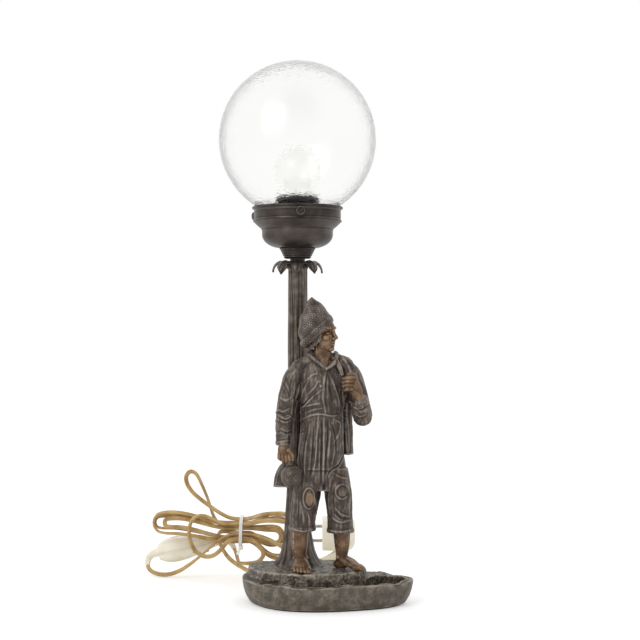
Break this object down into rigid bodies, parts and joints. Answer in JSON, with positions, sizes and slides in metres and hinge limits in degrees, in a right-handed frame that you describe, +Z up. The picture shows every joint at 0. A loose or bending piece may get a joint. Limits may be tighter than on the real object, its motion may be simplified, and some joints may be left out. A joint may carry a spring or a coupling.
{
  "type": "figural table lamp",
  "caption": "Table lamp with a cast standing figure by a tree-trunk column, a textured clear glass globe in a spun gallery, and a cord with a slide dimmer and plug.",
  "frame": {"origin": "on the column's axis, on the surface that the lamp stands on", "axes": "+Z up, +X to the viewer's right, +Y away from the viewer"},
  "size_m": [0.2839, 0.3205, 0.5385],
  "materials": {
    "patina": "satin dark brown patina",
    "skin": "satin warm brown patina",
    "gallery": "satin dark brown-grey",
    "steel": "zinc plated",
    "felt": "felt",
    "globe_glass": "clear, textured",
    "bulb_glass": "clear",
    "holder_plastic": "matte black",
    "holder_brass": "bare",
    "cream": "cream",
    "cord": "translucent gold",
    "tie": "white",
    "pins": "nickel plated",
    "bush": "black"
  },
  "bodies": {
    "stand": {"base": "patina", "felt_pad": "felt", "cord_bushing": "bush", "trunk": "patina", "base_washer": "steel", "base_nut": "steel", "threaded_tube": "steel", "leaf_collar": "patina", "neck_cone": "gallery", "gallery": "gallery", "holder_cap": "holder_plastic", "holder_skirt": "holder_plastic", "holder_ring": "holder_plastic", "holder_insert": "holder_plastic", "holder_thread": "holder_brass", "inner_lead": "cord", "figure_tunic": "patina", "figure_trousers": "patina", "figure_head": "skin", "figure_cap": "patina", "figure_leg_left": "skin", "figure_leg_right": "skin", "figure_studs": "steel", "figure_sleeve_hanging": "patina", "figure_hand_hanging": "skin", "figure_sleeve_bent": "patina", "figure_hand_bent": "skin", "figure_coat": "patina", "figure_jug": "patina", "figure_pouch": "patina", "cord_lead": "cord", "cord_hank": "cord", "cord_twist": "cord", "cord_ring": "cord", "cord_plug_lead": "cord", "cable_tie": "tie", "dimmer_base": "cream", "dimmer_cover": "cream", "dimmer_screws": "steel", "plug_body": "cream", "plug_pins": "pins"},
    "globe": {"globe": "globe_glass", "globe_shoulder": "globe_glass", "globe_fitter": "globe_glass"},
    "bulb": {"bulb_cap": "holder_brass", "bulb_glass": "bulb_glass"},
    "screw_front": {"gallery_screw_front": "gallery"},
    "screw_back": {"gallery_screw_back": "gallery"},
    "screw_left": {"gallery_screw_left": "gallery"},
    "dimmer_knob": {"dimmer_slider": "cream"}
  },
  "joints": [
    {"name": "globe_lift", "type": "slide", "parent": "stand", "child": "globe", "axis": [0, 0, 1], "range_m": [0, 0.2]},
    {"name": "bulb_turn", "type": "hinge", "parent": "stand", "child": "bulb", "pos_m": [0, 0, 0.4], "axis": [0, 0, 1], "range_deg": [0, 1080]},
    {"name": "screw_front_out", "type": "slide", "parent": "stand", "child": "screw_front", "axis": [0.0785, -0.9969, 0], "range_m": [0, 0.006]},
    {"name": "screw_back_out", "type": "slide", "parent": "stand", "child": "screw_back", "axis": [0.8241, 0.5664, 0], "range_m": [0, 0.006]},
    {"name": "screw_left_out", "type": "slide", "parent": "stand", "child": "screw_left", "axis": [-0.9026, 0.4305, 0], "range_m": [0, 0.006]},
    {"name": "dimmer_slide", "type": "slide", "parent": "stand", "child": "dimmer_knob", "axis": [0.9816, 0, 0.1908], "range_m": [-0.008, 0.008]}
  ]
}
